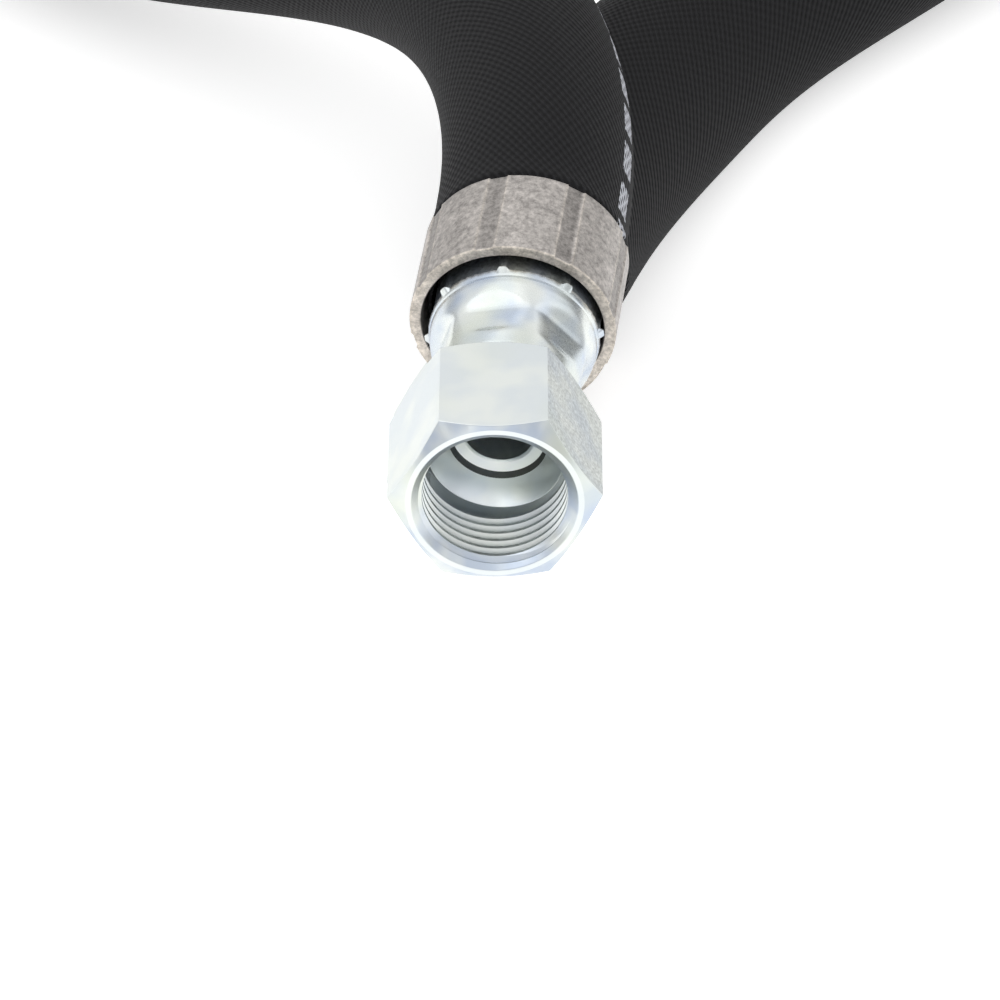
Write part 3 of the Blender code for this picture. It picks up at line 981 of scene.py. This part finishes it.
def shell_shape(hand, deeper):
    """A nose swaged down to the stem with six jaw marks, a ring with eight nibs, and a ridged barrel."""
    nose_stations, nose_radii = zip(*NOSE)
    scoop_stations, scoop_flats = zip(*SCOOPS)
    rows = 44
    profile = [(SHELL_FRONT, NOSE_BORE), (SHELL_FRONT, NOSE[0][1])]
    for k in range(1, rows + 1):
        station = SHELL_FRONT + (NOSE_END - SHELL_FRONT) * k / rows
        profile.append((station, float(np.interp(station, nose_stations, nose_radii))))
    profile += [
        (NOSE_END + 0.15, NOSE[-1][1] - 0.2),
        (NOSE_END + 0.35, BAND_RADIUS - 0.05),
        (NOSE_END + 0.5, BAND_RADIUS),
        (RING_STATION - 0.9, BAND_RADIUS + 0.05),
        (RING_STATION - 0.2, BAND_RADIUS + 0.2),
        (RING_STATION, BAND_RADIUS + 0.15),
        (RING_STATION + 0.25, BARREL_RADIUS),
    ]
    barrel_rows = 16
    barrel = SHELL_END - RING_STATION - 0.6
    for k in range(1, barrel_rows + 1):
        profile.append((RING_STATION + 0.25 + barrel * k / barrel_rows, BARREL_RADIUS))
    profile += [
        (SHELL_END, BARREL_RADIUS - 0.3),
        (SHELL_END, SHELL_BORE),
        (LIP_END, SHELL_BORE),
        (LIP_END, LIP_BORE),
        (LIP_FRONT, LIP_BORE),
        (LIP_FRONT, NOSE_BORE),
    ]
    mesh = turned_shape(profile, CRIMP_STEPS)
    sixth = math.tau / SCOOP_COUNT

    def rule(station, radius, angle):
        if radius < NOSE[0][1] - 0.5 or (station > LIP_END and radius < SHELL_BORE + 0.5):
            return station, radius
        if station < NOSE_END + 0.1:
            away = (angle - math.radians(hand * SCOOP_TURN) + sixth / 2) % sixth - sixth / 2
            flat = float(np.interp(station, scoop_stations, scoop_flats)) - deeper / MM
            return station, soft_least(radius, flat / math.cos(away), SCOOP_BLEND)
        if station < RING_STATION - 0.5:
            return station, radius
        ridge = mark_share(angle, hand * RIDGE_TURN, RIDGE_TOP, RIDGE_FOOT)
        if station <= RING_STATION + 0.01:
            burr = 0.5 + 0.5 * math.sin(angle * 37) * math.sin(angle * 23 + 1)
            return station, radius + NIB_HEIGHT * ridge - 0.12 * burr * (1 - ridge)
        wave = 0.05 * math.sin(angle * 8 + station) * math.sin(station * 0.9)
        return station, radius + RIDGE_HEIGHT * ridge + wave * (1 - ridge)

    reshape(mesh, rule)
    for face in mesh.faces:
        middle = face.calc_center_median()
        if middle.z > RING_STATION and math.hypot(middle.x, middle.y) > SHELL_BORE + 0.6:
            face.material_index = 1
    return mesh


class HOSE_OT_shells(Operator):
    """Build the two crimped shells"""

    bl_idname = "hose.shells"
    bl_label = "Crimp Shells"

    def execute(self, context):
        polished = zinc_plate("zinc_plated_dome", 0.6, 0.25, dark=0.92)
        crimped = zinc_plate("zinc_plated_crimped_barrel", 0.8, 0.42, dark=0.6, scuffed=0.35)
        for letter, end in ENDS.items():
            finish_piece(
                "crimp_shell_" + letter + "_domed",
                shell_shape(CRIMP_HAND[letter], context.scene.hose_fitting.scoop_depth),
                end.stem_matrix(),
                [polished, crimped],
                "hose",
                ["crimp_shell_" + letter],
            )
        return {"FINISHED"}


# Sleeve collar


def collar_shape(hand):
    """A ring with eight flattened stripes between raised lines, its front a little to the left."""
    profile = [(COLLAR_FRONT + 0.15, COLLAR_BORE), (COLLAR_FRONT, COLLAR_BORE + 0.15)]
    profile += [(COLLAR_FRONT, COLLAR_RADIUS - 0.25), (COLLAR_FRONT + 0.1, COLLAR_RADIUS - 0.08)]
    rows = 24
    for k in range(rows + 1):
        profile.append((COLLAR_FRONT + 0.3 + (COLLAR_END - COLLAR_FRONT - 0.6) * k / rows, COLLAR_RADIUS))
    profile += [(COLLAR_END - 0.1, COLLAR_RADIUS - 0.08), (COLLAR_END, COLLAR_RADIUS - 0.25)]
    profile += [(COLLAR_END, COLLAR_BORE + 0.15), (COLLAR_END - 0.15, COLLAR_BORE)]
    mesh = turned_shape(profile, CRIMP_STEPS)
    turn = hand * STRIPE_TURN

    def pressed(angle):
        return mark_share(angle, turn, STRIPE_HALF - STRIPE_EDGE, STRIPE_HALF + STRIPE_EDGE)

    def rule(station, radius, angle):
        if radius < COLLAR_RADIUS - 0.5:
            return station, radius
        stripe = pressed(angle)
        border = mark_share(angle, turn, STRIPE_HALF + 0.6, STRIPE_HALF + 2.4) * (1 - stripe)
        return station, radius - STRIPE_DEPTH * stripe + BORDER_HEIGHT * border

    reshape(mesh, rule)
    # Positive values pale the stripe edges and the front face, rubbed steel with painted highlight;
    # negative values darken the pressed stripes, painted shade.
    rubbed = mesh.verts.layers.float.new("rubbed")
    for vert in mesh.verts:
        angle = math.atan2(vert.co.y, vert.co.x)
        outside = math.hypot(vert.co.x, vert.co.y) > COLLAR_RADIUS - 0.6
        stripe = pressed(angle)
        border = mark_share(angle, turn, STRIPE_HALF + 0.7, STRIPE_HALF + 2.0)
        vert[rubbed] = 0.55 * border * (1 - stripe) - 0.35 * stripe if outside else 0
        if vert.co.z < COLLAR_FRONT + 0.12:
            vert[rubbed] = 1.0 if outside else 0.6
    for vert in mesh.verts:
        vert.co.y -= COLLAR_LEAN * (COLLAR_END - vert.co.z) / (COLLAR_END - COLLAR_FRONT)
    return mesh


class HOSE_OT_collars(Operator):
    """Build the two sleeve collars"""

    bl_idname = "hose.collars"
    bl_label = "Sleeve Collars"

    def execute(self, context):
        finish = raw_steel("raw_steel_collar")
        for letter, end in ENDS.items():
            finish_piece(
                "sleeve_collar_" + letter + "_crimped",
                collar_shape(CRIMP_HAND[letter]),
                end.stem_matrix(),
                [finish],
                "hose",
                ["sleeve_collar_" + letter],
            )
        return {"FINISHED"}


# Hose sleeve


def smooth_curve(points, start_along, end_along):
    """A function of distance along one smooth curve through the points, leaving and arriving straight."""
    knots = np.array([tuple(p) for p in points])
    gaps = np.linalg.norm(np.diff(knots, axis=0), axis=1)
    along = np.concatenate(([0.0], np.cumsum(gaps)))
    slopes = np.diff(knots, axis=0) / gaps[:, None]
    count = len(knots)
    matrix = np.zeros((count, count))
    right = np.zeros((count, 3))
    matrix[0, :2] = 2 * gaps[0], gaps[0]
    matrix[-1, -2:] = gaps[-1], 2 * gaps[-1]
    right[0] = 6 * (slopes[0] - np.array(start_along))
    right[-1] = 6 * (np.array(end_along) - slopes[-1])
    for i in range(1, count - 1):
        matrix[i, i - 1 : i + 2] = gaps[i - 1], 2 * (gaps[i - 1] + gaps[i]), gaps[i]
        right[i] = 6 * (slopes[i] - slopes[i - 1])
    bend = np.linalg.solve(matrix, right)

    def at(distance):
        i = int(np.clip(np.searchsorted(along, distance) - 1, 0, count - 2))
        a, b, h = along[i + 1] - distance, distance - along[i], gaps[i]
        curved = (bend[i] * a**3 + bend[i + 1] * b**3) / (6 * h)
        straight = (knots[i] / h - bend[i] * h / 6) * a + (knots[i + 1] / h - bend[i + 1] * h / 6) * b
        return Vector(curved + straight)

    return at, along[-1]


def hose_path():
    """Places along the whole sleeve: (point, direction, station on an end or None when free)."""
    a, b = ENDS["a"], ENDS["b"]
    below = Vector((a.face.x, a.face.y, 0))
    points = [a.at(SHELL_END)] + [below + Vector(p) * MM for p in ROUTE] + [b.at(SHELL_END)]
    at, length = smooth_curve(points, a.along, -b.along)
    path = [(a.at(s), a.along, s) for s in SLEEVE_STATIONS]
    count = round(length / (SLEEVE_STEP * MM))
    for k in range(count + 1):
        distance = length * k / count
        ahead = at(min(distance + MM, length)) - at(max(distance - MM, 0))
        path.append((at(distance), ahead.normalized(), None))
    path += [(b.at(s), -b.along, s) for s in reversed(SLEEVE_STATIONS)]
    return path


def sleeve_radius(station, pinched, free):
    """Pinched under the collar, a slight bulge just behind it, then its full size."""
    if station is None:
        return free
    if station <= COLLAR_END - 0.2:
        return pinched
    opened = min((station - COLLAR_END + 0.2) / SLEEVE_OPENING, 1)
    settled = min(max((station - BULGE_START) / BULGE_LENGTH, 0), 1)
    opening = math.sin(opened * math.pi / 2)
    return pinched + (free - pinched) * opening + BULGE * opening * (1 - settled) ** 2


def sleeve_slack(left):
    """How far the loose sleeve sags to its outer side, this many millimetres before its end at end B."""
    share = min(max((left - SLACK_START) / SLACK_LENGTH, 0), 1)
    return SLACK * math.sin(math.pi * share**SLACK_SKEW)


def sleeve_tube(path):
    """Rings joined in turn, out along the outside and back inside, laid out flat in millimetres."""
    outer = [sleeve_radius(place[2], PINCHED_OUTER, SLEEVE_RADIUS) for place in path]
    inner = [sleeve_radius(place[2], PINCHED_INNER, SLEEVE_RADIUS - SLEEVE_WALL) for place in path]
    walk = list(zip(path, outer)) + list(zip(path, inner))[::-1]
    gone = [0.0]
    for before, after in zip(path, path[1:]):
        gone.append(gone[-1] + (after[0] - before[0]).length / MM)
    gone += gone[::-1]
    mesh = bmesh.new()
    lay = mesh.loops.layers.uv.new("lay")
    where = {}
    rings = []
    for k, (place, radius) in enumerate(walk):
        point, along = place[:2]
        right, up = ring_frame(along)
        matrix = Matrix((right, up, along)).transposed().to_4x4()
        matrix = Matrix.Translation(point) @ matrix
        made = bmesh.ops.create_circle(mesh, segments=SLEEVE_SIDES, radius=radius * MM, matrix=matrix)
        ring = made["verts"]
        slack = sleeve_slack(max(gone) - gone[k]) * MM
        sag = (up * -0.6 - right * 0.8).normalized()
        for j, vert in enumerate(ring):
            where[vert] = (j / SLEEVE_SIDES, gone[k])
            outward = (vert.co - point).normalized()
            moved = sag * slack * max(outward.dot(sag), 0) ** 1.5
            lowest = (point + outward * SLEEVE_RADIUS * MM + moved).z
            moved.z += max(FLOOR_GAP * MM - lowest, 0) if slack else 0
            vert.co += moved
        rings.append(ring)
    mesh.edges.index_update()
    loops = []
    for ring in rings:
        loops.append([mesh.edges.get(pair) for pair in zip(ring, ring[1:] + ring[:1])])
    for one, other in zip(loops, loops[1:] + loops[:1]):
        bmesh.ops.bridge_loops(mesh, edges=one + other)
    round_length = math.tau * SLEEVE_RADIUS
    for face in mesh.faces:
        turns = [where[corner.vert][0] for corner in face.loops]
        wraps = max(turns) - min(turns) > 0.5
        for corner in face.loops:
            turn, length = where[corner.vert]
            if wraps and turn < 0.5:
                turn += 1
            corner[lay].uv = (turn * round_length, length)
    bmesh.ops.recalc_face_normals(mesh, faces=mesh.faces)
    return mesh


class HOSE_OT_sleeve(Operator):
    """Build the woven sleeve along the whole hose"""

    bl_idname = "hose.sleeve"
    bl_label = "Woven Sleeve"

    def execute(self, context):
        path = hose_path()
        mesh = sleeve_tube(path)
        made = finish_piece(
            "woven_sleeve",
            mesh,
            Matrix.Identity(4),
            [woven_nylon("woven_black_nylon")],
            "hose",
            HOSE_NODES,
            sharp=60,
        )
        end_b = [piece.name for piece in bpy.data.objects if piece.name.startswith(("nut_b", "stem_b"))]
        end_b += ["crimp_shell_b_domed", "sleeve_collar_b_crimped"]
        tuple(ENDS["a"].at(COLLAR_END))
        [tuple(place[0]) for place in path]
        return {"FINISHED"}


# Stage


class HOSE_OT_stage(Operator):
    """Set up the floor, the soft studio lights, the surroundings and the camera"""

    bl_idname = "hose.stage"
    bl_label = "Studio"

    def execute(self, context):
        add_floor()
        add_lights()
        add_surroundings(context.scene)
        add_camera(context.scene)
        return {"FINISHED"}


def white_rays(tree):
    """1 for the camera's own rays and for reflected and refracted ones, 0 for scattered light."""
    rays = add_node(tree, "ShaderNodeLightPath").outputs
    seen = add_node(
        tree,
        "ShaderNodeMath",
        {0: rays["Is Camera Ray"], 1: rays["Is Glossy Ray"]},
        operation="MAXIMUM",
    ).outputs[0]
    return add_node(
        tree,
        "ShaderNodeMath",
        {0: seen, 1: rays["Is Transmission Ray"]},
        operation="MAXIMUM",
    ).outputs[0]


def add_floor():
    mesh = bmesh.new()
    bmesh.ops.create_grid(mesh, x_segments=1, y_segments=1, size=FLOOR_SIZE)
    data = bpy.data.meshes.new("studio_floor")
    mesh.to_mesh(data)
    mesh.free()
    finish, tree, shader = blank_finish("white_card")
    shader.inputs["Base Color"].default_value = (0.86, 0.86, 0.86, 1)
    shader.inputs["Roughness"].default_value = 0.9
    glow = add_node(
        tree,
        "ShaderNodeMath",
        {0: white_rays(tree), 1: FLOOR_GLOW},
        operation="MULTIPLY",
    ).outputs[0]
    tree.links.new(glow, shader.inputs["Emission Strength"])
    shader.inputs["Emission Color"].default_value = (1, 1, 1, 1)
    data.materials.append(finish)
    floor = bpy.data.objects.new("studio_floor", data)
    bpy.context.collection.objects.link(floor)


def add_lights():
    """Three large soft boxes: a key from the front left, a fill from the right and one overhead."""
    boxes = (
        ("key_box", (-0.55, -0.55, 1.0), 1.0, 1.7),
        ("fill_box", (0.9, 0.0, 0.7), 0.8, 0.6),
        ("top_box", (-0.25, 0.25, 1.3), 0.9, 0.9),
    )
    aim = Vector(LIGHTS_AIM)
    for name, place, size, power in boxes:
        lamp = bpy.data.lights.new(name, "AREA")
        lamp.shape = "SQUARE"
        lamp.size = size
        lamp.energy = power
        made = bpy.data.objects.new(name, lamp)
        made.location = place
        made.rotation_euler = (aim - Vector(place)).to_track_quat("-Z", "Y").to_euler()
        bpy.context.collection.objects.link(made)


def add_surroundings(scene):
    """White walls to the camera; what the metal reflects has a dark card and darkens near the floor."""
    world = bpy.data.worlds.new("studio_walls")
    scene.world = world
    world.use_nodes = True
    tree = world.node_tree
    tree.nodes.clear()
    place = add_node(tree, "ShaderNodeTexCoord").outputs["Generated"]
    toward = add_node(
        tree,
        "ShaderNodeVectorMath",
        {0: place, 1: DARK_CARD},
        operation="DOT_PRODUCT",
    ).outputs["Value"]
    carded = add_node(
        tree,
        "ShaderNodeMapRange",
        {"Value": toward, "From Min": 0.8, "From Max": 0.95, "To Min": 1.0, "To Max": DARK_CARD_STRENGTH},
    ).outputs["Result"]
    height = add_node(tree, "ShaderNodeSeparateXYZ", {"Vector": place}).outputs["Z"]
    skirting = add_node(
        tree,
        "ShaderNodeMapRange",
        {"Value": height, "From Min": 0.05, "From Max": 0.4, "To Min": SKIRTING_STRENGTH, "To Max": 1.0},
    ).outputs["Result"]
    reflected = add_node(tree, "ShaderNodeMath", {0: carded, 1: skirting}, operation="MULTIPLY").outputs[0]
    strength = add_node(
        tree,
        "ShaderNodeMath",
        {0: reflected, 1: add_node(tree, "ShaderNodeLightPath").outputs["Is Camera Ray"]},
        operation="MAXIMUM",
    ).outputs[0]
    plain = add_node(tree, "ShaderNodeBackground", {"Color": (1, 1, 1, 1), "Strength": WALL_STRENGTH})
    white = add_node(tree, "ShaderNodeBackground", {"Color": (1, 1, 1, 1), "Strength": strength})
    mixed = add_node(
        tree,
        "ShaderNodeMixShader",
        {0: white_rays(tree), 1: plain.outputs[0], 2: white.outputs[0]},
    )
    add_node(tree, "ShaderNodeOutputWorld", {"Surface": mixed.outputs[0]})


def add_camera(scene):
    elevation, yaw = math.radians(CAMERA_ELEVATION), math.radians(CAMERA_YAW)
    look = Vector((
        math.sin(yaw) * math.cos(elevation),
        math.cos(yaw) * math.cos(elevation),
        -math.sin(elevation),
    ))
    data = bpy.data.cameras.new("product_camera")
    data.sensor_width = 36.0
    data.lens = CAMERA_LENS
    data.clip_start = 0.05
    data.clip_end = 20.0
    camera = bpy.data.objects.new("product_camera", data)
    aim = ENDS["a"].face + Vector(CAMERA_AIM) * MM
    level = look.to_track_quat("-Z", "Y").to_matrix().to_4x4()
    roll = Matrix.Rotation(math.radians(CAMERA_ROLL), 4, "Z")
    camera.matrix_world = Matrix.Translation(aim - look * CAMERA_DISTANCE * MM) @ level @ roll
    bpy.context.collection.objects.link(camera)
    scene.camera = camera
    scene.view_settings.view_transform = "Standard"


class HOSE_PT_pieces(Panel):
    """Lists the pieces that can be built"""

    bl_idname = "HOSE_PT_pieces"
    bl_label = "Hydraulic Hose"
    bl_space_type = "VIEW_3D"
    bl_region_type = "UI"
    bl_category = "Hose"

    def draw(self, context):
        layout = self.layout
        for group in (context.scene.hose_fitting, context.scene.hose_finish):
            for name in group.__annotations__:
                layout.prop(group, name)
        for operator in PIECES:
            layout.operator(operator.bl_idname)


PIECES = (HOSE_OT_nuts, HOSE_OT_stems, HOSE_OT_shells, HOSE_OT_collars, HOSE_OT_sleeve, HOSE_OT_stage)
CLASSES = (FittingSettings, FinishSettings, *PIECES, HOSE_PT_pieces)


def register():
    for cls in CLASSES:
        bpy.utils.register_class(cls)
    bpy.types.Scene.hose_fitting = PointerProperty(type=FittingSettings)
    bpy.types.Scene.hose_finish = PointerProperty(type=FinishSettings)


def unregister():
    del bpy.types.Scene.hose_finish
    del bpy.types.Scene.hose_fitting
    for cls in reversed(CLASSES):
        bpy.utils.unregister_class(cls)


def main():
    register()
    bpy.ops.hose.nuts()
    bpy.ops.hose.stems()
    bpy.ops.hose.shells()
    bpy.ops.hose.collars()
    bpy.ops.hose.sleeve()
    bpy.ops.hose.stage()


if __name__ == "__main__":
    main()
